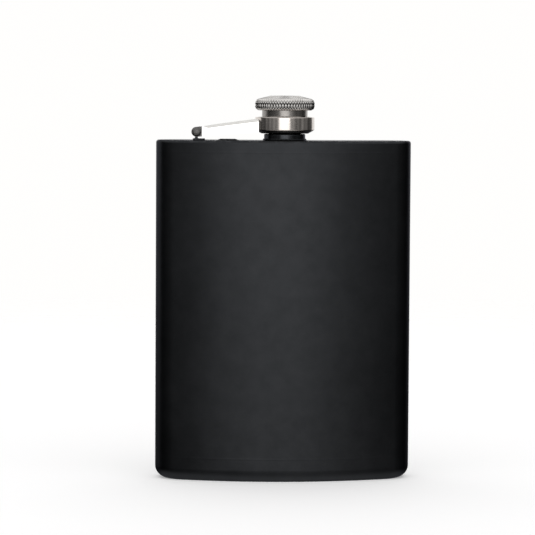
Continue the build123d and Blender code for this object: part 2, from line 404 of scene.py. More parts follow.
def polished_steel(name, colour, roughness):
    """Buffed sheet steel: nearly a mirror, with hairline scratches along its length."""
    material, tree, shader, coords = new_material(name, Metallic=1.0)
    stretch = add(tree, "ShaderNodeMapping", Vector=coords, Scale=(180, 4200, 4200)).outputs[0]
    hair = noise_node(tree, stretch, scale=1, detail=4, rough=0.7)
    smudge = noise_node(tree, coords, scale=300, detail=4, rough=0.6)
    uneven_colour(tree, shader, remap(tree, smudge, 0.35, 0.7), colour, 0.9)
    tree.links.new(remap(tree, smudge, 0.3, 0.75, roughness, roughness + 0.08), shader.inputs["Roughness"])
    bump(tree, shader, hair, distance=0.003 * MM, strength=0.4)
    return material


def moulded(name, colour, roughness, grain):
    """Moulded plastic or silicone: a matt skin, slightly uneven in colour."""
    material, tree, shader, coords = new_material(name, Specular_IOR_Level=0.4)
    cloud = noise_node(tree, coords, scale=500, detail=4, rough=0.6)
    uneven_colour(tree, shader, remap(tree, cloud, 0.3, 0.7), colour, 0.88)
    matt = remap(tree, cloud, 0.3, 0.7, roughness - 0.05, roughness + 0.08)
    tree.links.new(matt, shader.inputs["Roughness"])
    skin_grain = noise_node(tree, coords, scale=grain, detail=2)
    bump(tree, shader, skin_grain, distance=0.01 * MM, strength=0.4)
    return material


COAT = black_coat("coat_black", roughness=0.32)
COLLAR_COAT = black_coat("coat_black_gloss", roughness=0.2, shine=1.3)
STEEL = turned_steel("steel_turned", (0.64, 0.595, 0.56), roughness=0.13)
SPOUT_STEEL = turned_steel("steel_spout", (0.60, 0.58, 0.55), roughness=0.2, line_scale=3500)
# darker copy of the turned steel: painted shade for the waist in the shadow of the head's overhang
SHADED_WAIST_STEEL = turned_steel("steel_waist_painted_shade", (0.30, 0.285, 0.272), roughness=0.24, line_scale=3200)
KNURL_STEEL = knurled_steel("steel_knurled", (0.78, 0.76, 0.74), roughness=0.16)
WORN_STEEL = turned_steel("steel_worn", (0.14, 0.137, 0.134), 0.4, line_scale=1800, line_depth=0.012 * MM)
POLISHED = polished_steel("steel_polished", (0.78, 0.77, 0.75), roughness=0.06)
PLASTIC = moulded("plastic_insert", (0.72, 0.71, 0.66), roughness=0.45, grain=1400)
SILICONE = moulded("silicone_seal", (0.78, 0.77, 0.72), roughness=0.6, grain=2600)


# ------------------------------------------------------------------ flask body
# mesh steps round the section: along half of a side, the hollow back and the bulged front
SIDE_STEPS = 20
BACK_STEPS = 80
FRONT_STEPS = 104


def tangent_radius(apex_y, bulge):
    """Radius of the section's front (bulge 1) or back (bulge -1) arc, tangent to the round sides."""
    rise = SIDE_CENTRE.y - apex_y
    return (SIDE_CENTRE.x**2 + rise**2 - SIDE_RADIUS**2) / (2 * (rise - bulge * SIDE_RADIUS))


def arc_pairs(centre, radius, start, end, steps, outward=1):
    """(point, outward normal) pairs along an arc, without its last point."""
    pairs = []
    for k in range(steps):
        angle = start + (end - start) * k / steps
        normal = Vector((math.cos(angle), math.sin(angle)))
        pairs.append((centre + radius * normal, outward * normal))
    return pairs


def kidney_section():
    """Points and normals once round the flask, from the back edge of the side seam to its front edge."""
    right = SIDE_CENTRE
    left = Vector((-right.x, right.y))
    hollow_y = FRONT_Y + MIDDLE_THICKNESS
    front_r = tangent_radius(FRONT_Y, 1)
    back_r = tangent_radius(hollow_y, -1)
    front_centre = Vector((0, FRONT_Y + front_r))
    back_centre = Vector((0, hollow_y + back_r))
    front_turn = math.atan2(right.x, front_centre.y - right.y)
    back_turn = math.atan2(right.x, back_centre.y - right.y)
    up = math.pi / 2
    last = Vector((math.cos(SEAM_ANGLE), -math.sin(SEAM_ANGLE)))
    return (
        arc_pairs(right, SIDE_RADIUS, SEAM_ANGLE, up + back_turn, SIDE_STEPS)
        + arc_pairs(back_centre, back_r, back_turn - up, -back_turn - up, BACK_STEPS, outward=-1)
        + arc_pairs(left, SIDE_RADIUS, up - back_turn, 3 * up - front_turn, 2 * SIDE_STEPS)
        + arc_pairs(front_centre, front_r, -up - front_turn, front_turn - up, FRONT_STEPS)
        + arc_pairs(right, SIDE_RADIUS, front_turn - up, -SEAM_ANGLE, SIDE_STEPS)
        + [(right + SIDE_RADIUS * last, last)]
    )


SECTION = kidney_section()


def section_loop(mesh, z, inset=0.0, rounding=0.0):
    """A loop of vertices round the flask, set in by the sheet's inset and by the base's rounding.

    The rounding reaches less far in at the front and back than at the sides.
    """
    narrowing = BASE_CORNER_DEPTH / BASE_CORNER
    loop = []
    for point, normal in SECTION:
        squeezed = Vector((normal.x, normal.y * narrowing))
        inward = Vector((squeezed.x, squeezed.y * narrowing)) / squeezed.length
        place_at = point - normal * inset - inward * rounding
        loop.append(mesh.verts.new((place_at.x, place_at.y, z)))
    return loop


def build_body_wall():
    """Sheet wrapped round the section, its two edges a seam's width apart."""
    mesh = bmesh.new()
    corners = ((WALL_LOW, 0), (WALL_HIGH, 0), (WALL_HIGH, SHEET), (WALL_LOW, SHEET))
    loops = [section_loop(mesh, z, inset) for z, inset in corners]
    skin(mesh, loops, closed=True, around=False)
    for end in (0, -1):
        mesh.faces.new([loop[end] for loop in loops])
    return object_from("body_wall_sheet", mesh)


def build_seam_band(name, low, high):
    """Weld ground nearly flush round the flask: a crown too low to see except as a faint line."""
    crown = 0.012 * MM
    mesh = bmesh.new()
    rows = ((low, SHEET), (low, 0), ((low + high) / 2, -crown), (high, 0), (high, SHEET))
    skin(mesh, [section_loop(mesh, z, inset) for z, inset in rows], closed=True)
    return object_from(name, mesh)


def build_side_seam():
    """Ground weld up the right-hand side, with the faint ripples of its passes."""
    ripple_pitch = 0.9 * MM
    crown = 0.02 * MM
    steps_per_ripple = 6
    steps = round((WALL_HIGH - WALL_LOW) / ripple_pitch) * steps_per_ripple
    rings = []
    for step in range(steps + 1):
        z = WALL_LOW + (WALL_HIGH - WALL_LOW) * step / steps
        ripple = 0.4 + 0.6 * abs(math.sin(math.pi * z / ripple_pitch))
        across = [k / 2 for k in range(-2, 3)]
        spots = [(SIDE_RADIUS + crown * ripple * (1 - share**2), share) for share in across]
        spots += [(SIDE_RADIUS - SHEET, share) for share in (1, -1)]
        rings.append([
            (
                SIDE_CENTRE.x + reach * math.cos(SEAM_ANGLE * share),
                SIDE_CENTRE.y + reach * math.sin(SEAM_ANGLE * share),
                z,
            )
            for reach, share in spots
        ])
    mesh = bmesh.new()
    loft(mesh, rings)
    return object_from("side_seam_weld_bead", mesh)


def quarter(radius, steps=8):
    """(set in, set down) pairs round an edge of this radius, from its side to its flat face."""
    angles = [math.pi / 2 * k / steps for k in range(steps + 1)]
    return [(radius * (1 - math.cos(a)), radius * (1 - math.sin(a))) for a in angles]


def build_base_pan():
    """Drawn base: straight rim, round lower corners and a flat bottom."""
    mesh = bmesh.new()
    flat_margin = 0.6 * MM
    skins = []
    for inset in (SHEET, 0):
        radius = BASE_CORNER - inset
        loops = [section_loop(mesh, PAN_TOP, inset)]
        for set_in, set_down in quarter(radius, 12):
            loops.append(section_loop(mesh, inset + set_down, inset, set_in))
        loops.append(section_loop(mesh, inset, inset, radius + flat_margin))
        skin(mesh, loops)
        fill(mesh, loops[-1])
        skins.append(loops[0])
    bridge(mesh, *skins)
    return object_from("base_pan_drawn", mesh)


def build_top_plate():
    """Shoulder: turned-down rim, a tight round edge and a flat top with the spout's hole."""
    mesh = bmesh.new()
    flat_margin = 0.3 * MM
    skins = []
    for inset, drop in ((SHEET, PLATE), (0, 0)):
        radius = TOP_CORNER - inset / 2
        flat_z = SHOULDER - drop
        loops = [section_loop(mesh, PLATE_LOW, inset)]
        for set_in, set_down in quarter(radius):
            loops.append(section_loop(mesh, flat_z - set_down, inset + set_in))
        loops.append(section_loop(mesh, flat_z, inset + radius + flat_margin))
        skin(mesh, loops)
        circle = circle_points((CAP_FOOT.x, CAP_FOOT.y), SPOUT_HOLE, 96)
        hole = [mesh.verts.new((x, y, flat_z)) for x, y in circle]
        fill(mesh, loops[-1], hole)
        skins.append((loops[0], hole))
    bridge(mesh, skins[0][0], skins[1][0])
    bridge(mesh, skins[0][1], skins[1][1])
    return object_from("top_plate_shoulder", mesh)


def build_rest_pad():
    """Low pad with sloping ends and soft edges."""
    low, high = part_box("rest_pad")
    ramp = 1.5 * MM
    outline = [(low.x, low.z), (high.x, low.z), (high.x - ramp, high.z), (low.x + ramp, high.z)]
    mesh = bmesh.new()
    prism(mesh, [outline], low.y, high.y, lambda x, z, y: (x, y, z))
    pad = object_from("rest_pad_pressing", mesh)
    bevel(pad, 0.3 * MM, 4)
    return pad


BODY = (
    (build_body_wall(), "body_wall"),
    (build_side_seam(), "side_seam_weld"),
    (build_base_pan(), "base_pan"),
    (build_seam_band("base_seam_weld_band", PAN_TOP, WALL_LOW), "base_seam_weld"),
    (build_top_plate(), "top_plate"),
    (build_seam_band("top_seam_weld_band", WALL_HIGH, PLATE_LOW), "top_seam_weld"),
    (build_rest_pad(), "rest_pad"),
)
for piece, node in BODY:
    weighted_normals(piece)
    place(piece, "flask", "black_coat", COAT, node)


# ------------------------------------------------------------------ spout
# radii and heights, in millimetres
SPOUT_BORE = 5.0
SPOUT_TUBE = 6.0
SPOUT_CREST = 6.35
COLLAR_TOP = 2.4
THREAD_LOW = 5.5
THREAD_FADE = 0.9            # length over which the thread runs out
RISING_FLANK = (0.16, 0.36)  # where the thread's flanks are, as shares of its pitch
FALLING_FLANK = (0.64, 0.84)


def thread_ridge(z, angle, offset=0.0):
    """0 between the threads of a right-hand screw to 1 on its rounded crest."""
    turn = (z / THREAD_PITCH - angle / (2 * math.pi) + offset) % 1.0
    return smoothstep(*RISING_FLANK, turn) - smoothstep(*FALLING_FLANK, turn)


def spout_warp(r, z, angle):
    """Rolls the thread into the tube's upper end, running out at both ends."""
    if r < SPOUT_TUBE - 0.01 or z < THREAD_LOW - 0.5:
        return r, z
    low = smoothstep(THREAD_LOW - 0.1, THREAD_LOW + THREAD_FADE, z)
    high = 1 - smoothstep(SPOUT_TOP - THREAD_FADE, SPOUT_TOP - 0.3, z)
    return r + (SPOUT_CREST - SPOUT_TUBE) * thread_ridge(z, angle) * low * high, z


def build_spout():
    """Collar in a glossier black, then a bare tube with its thread."""
    lip_r = COLLAR_R - 0.45
    plate = PLATE / MM
    path = rounded([
        (SPOUT_BORE, SPOUT_LOW, 0.1),
        (lip_r, SPOUT_LOW, 0.1),
        (lip_r, -plate, 0),
        (SPOUT_HOLE / MM, -plate, 0),
        (SPOUT_HOLE / MM, 0, 0),
        (COLLAR_R, 0, 0),
        (COLLAR_R, COLLAR_TOP, 0.35),
        (SPOUT_TUBE, COLLAR_TOP, 0.15),
        (SPOUT_TUBE, SPOUT_TOP, 0.3),
        (SPOUT_BORE, SPOUT_TOP, 0.2),
    ])
    spout = lathe("spout_neck", dense(path + path[:1], 0.12)[:-1], 160, spout_warp)
    spout.data.materials.append(COLLAR_COAT)
    spout.data.materials.append(SPOUT_STEEL)
    for face in spout.data.polygons:
        centre = face.center / MM
        on_collar = centre.z < COLLAR_TOP + 0.01 and Vector(centre[:2]).length > SPOUT_TUBE + 0.2
        face.material_index = 0 if on_collar else 1
    return spout


def build_spout_weld():
    """Fillet weld round the collar's foot, rippled by its passes."""
    low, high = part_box("spout_weld")
    reach = high.x / MM
    height = (high.z - low.z) / MM
    passes = 40

    def ripple(r, z, angle):
        wave = 0.08 * abs(math.sin(passes * angle / 2)) * smoothstep(COLLAR_R, COLLAR_R + 0.2, r)
        return r - wave, z * (1 - wave)

    path = [Vector((COLLAR_R, 0)), Vector((reach, 0))]
    path += [Vector(p) for p in arc_points((reach + 0.1, height + 0.25), height + 0.2, -100, -172, 7)]
    path.append(Vector((COLLAR_R, height)))
    return lathe("spout_weld_bead", path, 320, ripple)


place(build_spout(), "flask", "spout_steel", SPOUT_STEEL, "spout")
place(build_spout_weld(), "flask", "black_coat", COAT, "spout_weld")


# ------------------------------------------------------------------ hinge
PIN_R = 0.8 * MM
PIN_BORE = 1.06 * PIN_R      # the bracket's hole for the pin
KNUCKLE_R = 1.6 * MM
KNUCKLE_HALF = 2.0 * MM      # half of its length along the pin
STEM_HALF = 0.5 * MM
EAR_R = 1.8 * MM
EAR_OUTSIDE = 2.95 * MM


def build_hinge_bracket():
    """Foot with round corners, and an upright that ends in a knuckle round the pin."""
    low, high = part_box("hinge_bracket")
    foot_top = low.z + 0.6 * MM
    corner = 0.8 * MM
    foot_half_x = 2.2 * MM
    foot_half_y = (high.y - low.y) / 2
    foot_x = high.x - foot_half_x
    outline = []
    for index, (sx, sy) in enumerate(((1, 1), (-1, 1), (-1, -1), (1, -1))):
        centre = (foot_x + sx * (foot_half_x - corner), PIN.y + sy * (foot_half_y - corner))
        outline += arc_points(centre, corner, 90 * index, 90 * index + 90, 5)
    mesh = bmesh.new()
    prism(mesh, [outline], low.z, foot_top, lambda x, y, z: (x, y, z))
    spread = math.degrees(math.asin(STEM_HALF / KNUCKLE_R))
    flare = 0.5 * MM
    upright = arc_points((PIN.x, PIN.z), KNUCKLE_R, -90 + spread, 270 - spread, 40)
    upright += arc_points((PIN.x - STEM_HALF - flare, foot_top + flare), flare, 0, -90, 5)
    upright += arc_points((PIN.x + STEM_HALF + flare, foot_top + flare), flare, -90, -180, 5)
    bore = circle_points((PIN.x, PIN.z), PIN_BORE, 32)
    front, back = PIN.y - KNUCKLE_HALF, PIN.y + KNUCKLE_HALF
    prism(mesh, [upright, bore], front, back, lambda x, z, y: (x, y, z))
    bracket = object_from("hinge_bracket_folded", mesh)
    bevel(bracket, 0.12 * MM)
    return bracket


def build_bracket_welds():
    """A short rippled bead along the foot's front edge and another along its back edge."""
    low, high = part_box("bracket_welds")
    bead = 0.4 * MM
    sunk = 0.05 * MM             # how far the bead reaches into the foot
    ripples = 7
    steps = 48
    mesh = bmesh.new()
    for edge_y, side in ((low.y + bead, -1), (high.y - bead, 1)):
        rings = []
        for step in range(steps + 1):
            share = step / steps
            x = low.x + (high.x - low.x) * share
            ends = min(1, 6 * share + 0.15, 6 * (1 - share) + 0.15)
            size = bead * ends * (0.86 + 0.14 * abs(math.sin(ripples * math.pi * share)))
            ring = [(x, edge_y - side * sunk, low.z)]
            for y, z in arc_points((0, 0), size, 0, 90, 6):
                ring.append((x, edge_y + side * y, low.z + z))
            ring.append((x, edge_y - side * sunk, low.z + size))
            rings.append(ring)
        loft(mesh, rings)
    return object_from("bracket_weld_beads", mesh)


def build_hinge_pin():
    """Rivet with a domed head at each end, turned about Y."""
    low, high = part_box("hinge_pin")
    half = (high.y - low.y) / 2 / MM
    head_r = (high.x - low.x) / 2 / MM
    shank_half = EAR_OUTSIDE / MM
    shank_r = PIN_R / MM
    rim = 0.16
    dome = [
        (head_r, -shank_half),
        (head_r, -shank_half - rim),
        (head_r * 0.93, -half + 0.3),
        (head_r * 0.72, -half + 0.11),
        (head_r * 0.4, -half + 0.03),
        (0, -half),
    ]
    path = [Vector(p) for p in dome[::-1]]
    path += [Vector((shank_r, -shank_half)), Vector((shank_r, shank_half))]
    path += [Vector((r, -z)) for r, z in dome]
    pin = lathe("hinge_pin_rivet", path, 64, closed=False)
    pin.location = PIN
    pin.rotation_euler = (-math.pi / 2, 0, 0)
    return pin


place(build_hinge_bracket(), "flask", "black_coat", COAT, "hinge_bracket")
place(build_bracket_welds(), "flask", "black_coat", COAT, "bracket_welds")
place(build_hinge_pin(), "arm", "polished_steel", WORN_STEEL, "hinge_pin")


# ------------------------------------------------------------------ captive arm and ring
# sizes of the arm; places along it are counted from the pin
ARM_SHEET = 0.8 * MM
ARM_LOW, ARM_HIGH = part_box("captive_arm")
ARM_REACH = CAP_FOOT.x - PIN.x               # to the cap's axis
ARM_ROOT = ARM_REACH - HEAD_R * MM           # to the ring's nearest point
ROOT_HALF = (ARM_HIGH.y - ARM_LOW.y) / 2
ROOT_TOP = ARM_HIGH.z - PIN.z
ROOT_BOTTOM = 1.0 * MM
EAR_LENGTH = 4.0 * MM                        # where the arm starts to widen
WEB_START = 1.9 * MM
ARM_CORNER = 1.0 * MM                        # between web and flange, full from CORNER_RUN's end
CORNER_RUN = (1.6 * MM, 4.5 * MM)
ARM_CROWN = 0.25 * MM                        # of the web, full from CROWN_RUN's end
CROWN_RUN = (2 * MM, 8 * MM)
FLANGE_ROWS, CORNER_ROWS, WEB_ROWS = 8, 6, 12


def arm_station(x):
    """The arm's outside at x from the pin: half width, top and bottom heights from the pin, corner."""
    widening = max(0, (x - EAR_LENGTH) / (ARM_ROOT - EAR_LENGTH))
    half = EAR_OUTSIDE + (ROOT_HALF - EAR_OUTSIDE) * widening
    if x < 0:
        rise = math.sqrt(max(0, EAR_R**2 - x**2))
        return half, rise, -rise, 0
    top = EAR_R + (ROOT_TOP - EAR_R) * x / ARM_ROOT
    bottom = -EAR_R + (ROOT_BOTTOM + EAR_R) * x / ARM_REACH
    return half, top, bottom, ARM_CORNER * smoothstep(*CORNER_RUN, x)


def arm_outline(x):
    """Places (y, z from the pin) across the arm at x: up one flange, over the web, down the other."""
    half, top, bottom, corner = arm_station(x)
    left = [(-half, bottom + (top - corner - bottom) * k / FLANGE_ROWS) for k in range(FLANGE_ROWS)]
    left += arc_points((-half + corner, top - corner), corner, 180, 90, CORNER_ROWS)
    inner = half - corner
    crown = ARM_CROWN * smoothstep(*CROWN_RUN, x)
    web = [-inner + 2 * inner * k / WEB_ROWS for k in range(1, WEB_ROWS)]
    over = [(y, top + crown * (1 - (y / inner) ** 2)) for y in web]
    return left + over + [(-y, z) for y, z in reversed(left)]


def build_captive_arm():
    """Pressed channel: a crowned web on top, a flange down each side, and two round ears at the pin."""
    ear_steps, straight_steps = 8, 44
    stations = [-EAR_R * math.cos(math.pi / 2 * k / ear_steps) for k in range(ear_steps)]
    stations += [ARM_ROOT * k / straight_steps for k in range(straight_steps + 1)]
    mesh = bmesh.new()
    columns = []
    for x in stations:
        share = max(0, (x - EAR_R) / (ARM_ROOT - EAR_R)) ** 2
        column = []
        for y, z in arm_outline(x):
            lead = ARM_REACH - math.sqrt((HEAD_R * MM) ** 2 - y**2) - ARM_ROOT   # to follow the ring
            column.append(mesh.verts.new((x + lead * share, y, z)))
        columns.append(column)
    web_first = FLANGE_ROWS + CORNER_ROWS
    web_last = web_first + WEB_ROWS
    for x, first, second in zip(stations, columns, columns[1:]):
        for k in range(len(first) - 1):
            if web_first <= k < web_last and x < WEB_START:
                continue
            mesh.faces.new((first[k], first[k + 1], second[k + 1], second[k]))
    clean(mesh, 1e-6)
    top_face = max(mesh.faces, key=lambda face: face.calc_center_median().z)
    if top_face.normal.z < 0:
        bmesh.ops.reverse_faces(mesh, faces=mesh.faces)
    arm = smooth_object("captive_arm_channel", mesh)
    arm.location = PIN
    arm.data.materials.append(POLISHED)
    arm.data.materials.append(WORN_STEEL)
    for face in arm.data.polygons:
        face.material_index = 1 if face.center.x < EAR_R else 0
    thickness = arm.modifiers.new("sheet", "SOLIDIFY")
    thickness.thickness = ARM_SHEET
    thickness.offset = -1
    thickness.use_even_offset = True
    bevel(arm, 0.14 * MM)
    weighted_normals(arm)
    return arm


RING_WALL = 0.7
RING_ROOF = 1.4              # thickness of the ring's top, which holds the cap's flange down
WAIST_GAP = 0.1


def build_ring_shell():
    """Ring under the head: straight wall, sloping top turned in round the cap's waist."""
    ceiling = RING_TOP - RING_ROOF
    path = rounded([
        (HEAD_R - RING_WALL, RING_LOW, 0.05),
        (HEAD_R, RING_LOW, 0.12),
        (HEAD_R, RING_TOP - 0.4, 0.3),
        (SLEEVE_R + 0.4, RING_TOP, 0.15),
        (SLEEVE_R + WAIST_GAP, RING_TOP - 0.15, 0.05),
        (SLEEVE_R + WAIST_GAP, ceiling, 0.05),
        (HEAD_R - RING_WALL, ceiling, 0.3),
    ])
    ring = lathe("captive_ring", path, 192)
    weighted_normals(ring)
    return ring


def build_closing_ring():
    """Lip below the ring: a chamfer that turns in to just clear the spout's collar."""
    inside = HEAD_R - RING_WALL
    bore = CLOSING_R - 3.05
    floor = CLOSING_LOW + 0.8
    path = rounded([
        (bore, CLOSING_LOW, 0.12),
        (bore + 0.7, CLOSING_LOW, 0.2),
        (HEAD_R, RING_LOW, 0.1),
        (inside, RING_LOW, 0),
        (inside - 0.75, floor, 0.1),
        (bore, floor, 0.12),
    ])
    lip = lathe("closing_ring_lip", path, 192)
    weighted_normals(lip)
    return lip


place(build_captive_arm(), "arm", "polished_steel", POLISHED, "captive_arm")
place(build_ring_shell(), "arm", "turned_steel", STEEL, "ring_shell")
place(build_closing_ring(), "arm", "turned_steel", STEEL, "closing_ring")


# ------------------------------------------------------------------ cap
HEAD_SHOULDER = HEAD_BOTTOM + 4.0
HEAD_FLAT_R = 5.0
KNURLS = 63                  # diamonds round the head
KNURL_STEPS = 8              # mesh steps along and across one diamond
KNURL_ROW = 0.275            # height of a mesh row, an eighth of a diamond
KNURL_DEPTH = 0.2
KNURL_FLAT = 0.85            # share of a diamond's height at which its point is cut flat
SHARP_KNURL = 14             # degrees beyond which the head's edges stay crisp


def triangle_wave(value):
    """0 at whole numbers, 1 half way between them."""
    return 1 - abs(2 * (value % 1.0) - 1)


def knurl_strength(r, z):
    """Full round the rim, fainter up the sloping shoulder, nothing at either end."""
    foot = smoothstep(HEAD_BOTTOM + 0.02, HEAD_BOTTOM + 0.4, z)
    shoulder = 1 - 0.5 * smoothstep(HEAD_SHOULDER - 0.8, HEAD_SHOULDER + 0.5, z)
    middle = smoothstep(HEAD_FLAT_R + 0.3, HEAD_FLAT_R + 1.0, r)
    return foot * shoulder * middle


def head_outside():
    """(point, normal) rows a knurl step apart, from under the head to the edge of its flat top."""
    path = rounded([
        (SLEEVE_R + 0.3, HEAD_BOTTOM, 0),
        (HEAD_R, HEAD_BOTTOM, 1.6),
        (HEAD_R, HEAD_SHOULDER, 1.8),
        (HEAD_FLAT_R, HEAD_TOP, 0.6),
        (HEAD_FLAT_R - 0.5, HEAD_TOP, 0),
    ], steps=24, closed=False)
    fine = dense(path, 0.01)
    rows = []
    travelled = KNURL_ROW
    for a, b in zip(fine, fine[1:]):
        travelled += (b - a).length
        if travelled >= KNURL_ROW:
            along = (b - a).normalized()
            rows.append((a, Vector((along.y, -along.x))))
            travelled -= KNURL_ROW
    return rows


def build_cap_head():
    """Turned head with a diamond knurl, a plain turned disc in its top, and hollow inside."""
    columns = KNURL_STEPS * KNURLS
    groove_floor = HEAD_TOP - 0.05
    hollow_top = HEAD_TOP - 1.7
    plain = [
        (4.3, HEAD_TOP),
        (4.26, groove_floor),
        (4.14, groove_floor),
        (4.1, HEAD_TOP),
        (2.0, HEAD_TOP),
        (0, HEAD_TOP),
        (0, hollow_top),
        (INSERT_R, hollow_top),
        (INSERT_R, SLEEVE_TOP),
        (SLEEVE_R, SLEEVE_TOP),
        (SLEEVE_R, HEAD_BOTTOM),
    ]
    outside = head_outside()
    rows = [(point, normal, knurl_strength(*point)) for point, normal in outside]
    rows += [(Vector(point), Vector((0, 1)), 0) for point in plain]
    mesh = bmesh.new()
    depth_layer = mesh.verts.layers.float.new("groove")
    grid = []
    for row, (point, normal, strength) in enumerate(rows):
        loop = []
        for column in range(columns):
            u = column / KNURL_STEPS
            v = row / KNURL_STEPS
            height = min(triangle_wave(u + v), triangle_wave(u - v), KNURL_FLAT) / KNURL_FLAT
            sunk = KNURL_DEPTH * strength * (1 - height)
            spot = point - normal * sunk
            angle = 2 * math.pi * column / columns
            vert = mesh.verts.new((
                spot.x * MM * math.cos(angle),
                spot.x * MM * math.sin(angle),
                spot.y * MM,
            ))
            # groove depth, which the knurled material darkens as dirt and painted shade
            vert[depth_layer] = strength * (1 - height)
            loop.append(vert)
        grid.append(loop)
    last_knurled = len(outside) - 1
    for row, (first, second) in enumerate(zip(grid, grid[1:] + grid[:1])):
        if row >= last_knurled:
            bridge(mesh, first, second)
            continue
        for column in range(columns):
            after = (column + 1) % columns
            a, b, c, d = first[column], first[after], second[after], second[column]
            if (row + column + 1) % KNURL_STEPS == 0:       # a groove runs along this diagonal
                mesh.faces.new((a, b, d))
                mesh.faces.new((b, c, d))
            else:
                mesh.faces.new((a, b, c))
                mesh.faces.new((a, c, d))
    head = object_from("cap_head_knurled", mesh, SHARP_KNURL)
    head.location = CAP_FOOT
    return head


def build_cap_sleeve():
    """Steel tube between the head and the flange: the waist that shows above the ring."""
    path = rounded([
        (INSERT_R, SLEEVE_BOTTOM, 0),
        (SLEEVE_R, SLEEVE_BOTTOM, 0.15),
        (SLEEVE_R, SLEEVE_TOP, 0),
        (INSERT_R, SLEEVE_TOP, 0),
    ])
    sleeve = lathe("cap_sleeve_tube", path, 160)
    weighted_normals(sleeve)
    return sleeve


def build_retaining_flange():
    """Washer on the sleeve's foot, held under the ring's roof."""
    path = rounded([
        (SLEEVE_R, FLANGE_BOTTOM, 0),
        (FLANGE_R, FLANGE_BOTTOM, 0.15),
        (FLANGE_R, FLANGE_TOP, 0.15),
        (SLEEVE_R, FLANGE_TOP, 0),
    ])
    return lathe("retaining_flange_washer", path, 160)


INSERT_BORE = 6.8
INSERT_CREST = 6.15


def insert_warp(r, z, angle):
    """Cuts the female thread, half a pitch away from the spout's, with run-outs at both ends."""
    if abs(r - INSERT_BORE) > 0.05 or z > GASKET_TOP - 0.05:
        return r, z
    low = smoothstep(SLEEVE_BOTTOM + 0.6, SLEEVE_BOTTOM + 1.6, z)
    high = 1 - smoothstep(SPOUT_TOP - 1.3, SPOUT_TOP - 0.4, z)
    ridge = thread_ridge(z, angle, 0.5) ** 2
    return r - (INSERT_BORE - INSERT_CREST) * ridge * (low * high), z


def build_thread_insert():
    """Moulded cup with the female thread and a roof behind the gasket."""
    path = rounded([
        (0, INSERT_TOP, 0),
        (INSERT_R, INSERT_TOP, 0.3),
        (INSERT_R, SLEEVE_BOTTOM, 0.1),
        (INSERT_BORE + 0.4, SLEEVE_BOTTOM, 0.1),
        (INSERT_BORE, SLEEVE_BOTTOM + 0.5, 0.1),
        (INSERT_BORE, GASKET_TOP, 0.0),
        (0, GASKET_TOP, 0),
    ], closed=False)
    return lathe("thread_insert_moulded", dense(path, 0.13), 160, insert_warp, closed=False)


def build_cap_gasket():
    """Silicone disc with the shallow ring that the spout's rim has pressed into it."""
    dent = 0.05
    top = GASKET_TOP - 0.03        # just clear of the insert's roof
    path = rounded([
        (0, GASKET_BOTTOM, 0),
        (SPOUT_BORE - 0.2, GASKET_BOTTOM, 0),
        (SPOUT_BORE, GASKET_BOTTOM + dent, 0),
        (SPOUT_TUBE, GASKET_BOTTOM + dent, 0),
        (SPOUT_TUBE + 0.15, GASKET_BOTTOM, 0),
        (GASKET_R, GASKET_BOTTOM, 0.12),
        (GASKET_R, top, 0.12),
        (0, top, 0),
    ], closed=False)
    return lathe("cap_gasket_disc", path, 96, closed=False)


place(build_cap_head(), "cap", "knurled_steel", KNURL_STEEL, "cap_head")
# the waist's darker steel is painted shade under the head
place(build_cap_sleeve(), "cap", "turned_steel", SHADED_WAIST_STEEL, "cap_sleeve")
place(build_retaining_flange(), "cap", "turned_steel", STEEL, "retaining_flange")
place(build_thread_insert(), "cap", "insert_plastic", PLASTIC, "thread_insert")
place(build_cap_gasket(), "seal", "seal_silicone", SILICONE, "cap_gasket")


# ------------------------------------------------------------------ floor, light and camera
def build_floor():
    """Pale round floor whose edge fades into the white surroundings."""
    radius = 0.9
    fade_start = 0.3 * radius
    mesh = bmesh.new()
    bmesh.ops.create_circle(mesh, cap_ends=True, segments=96, radius=radius)
    floor = object_from("floor", mesh)
    material, tree, shader, coords = new_material(
        "floor_pale",
        Base_Color=(0.9, 0.9, 0.91, 1),
        Roughness=0.8,
        Specular_IOR_Level=0.1,
        Emission_Color=(1, 1, 1, 1),
        Emission_Strength=0.25,
    )
    distance = add(tree, "ShaderNodeVectorMath", {"operation": "LENGTH"}, Vector=coords).outputs["Value"]
    tree.links.new(remap(tree, distance, fade_start, radius, 1, 0), shader.inputs["Alpha"])
    floor.data.materials.append(material)
    floor.visible_glossy = False


CAMERA_BEARING = -3.4        # degrees to the right of the flask's front

# brightness of the studio by bearing: 0 is towards the camera, 90 to its right. The first list is a
# belt of upright panels at eye level, the second the softer light above and below it.
BELT = (
    (-180, 0.7), (-107, 0.7), (-104, 0.04), (-92, 0.07), (-82, 0.03), (-74, 0.16), (-66, 0.05), (-58, 0.2),
    (-50, 0.09), (-42, 0.25), (-34, 0.12), (-24, 0.25), (-19, 1.35), (18, 1.35), (22, 0.08), (34, 0.18),
    (44, 0.05), (54, 0.15), (62, 0.05), (72, 0.22), (82, 0.08), (92, 0.14), (104, 0.03), (118, 0.07),
    (128, 0.03), (132, 0.7), (180, 0.7),
)
SURROUND = (
    (-180, 0.45), (-112, 0.45), (-104, 0), (-70, 0), (-46, 0.02), (-34, 0.12), (-25, 0.38), (-14, 0.9),
    (-2, 1.35), (16, 1.35), (26, 1.08), (36, 0.66), (48, 0.14), (60, 0.02), (70, 0), (129, 0),
    (136, 0.45), (180, 0.45),
)
BRIGHTEST = 1.35             # the lists' largest value, since a ramp's colours only go up to 1
OVERHEAD = 1.0
HIGH_FRONT = 0.9             # between the walls and the light overhead, at the front and at the back
HIGH_BACK = 0.38
FLOOR_GLOW = 0.65
BACKGROUND = (1, 0.995, 0.985, 1)

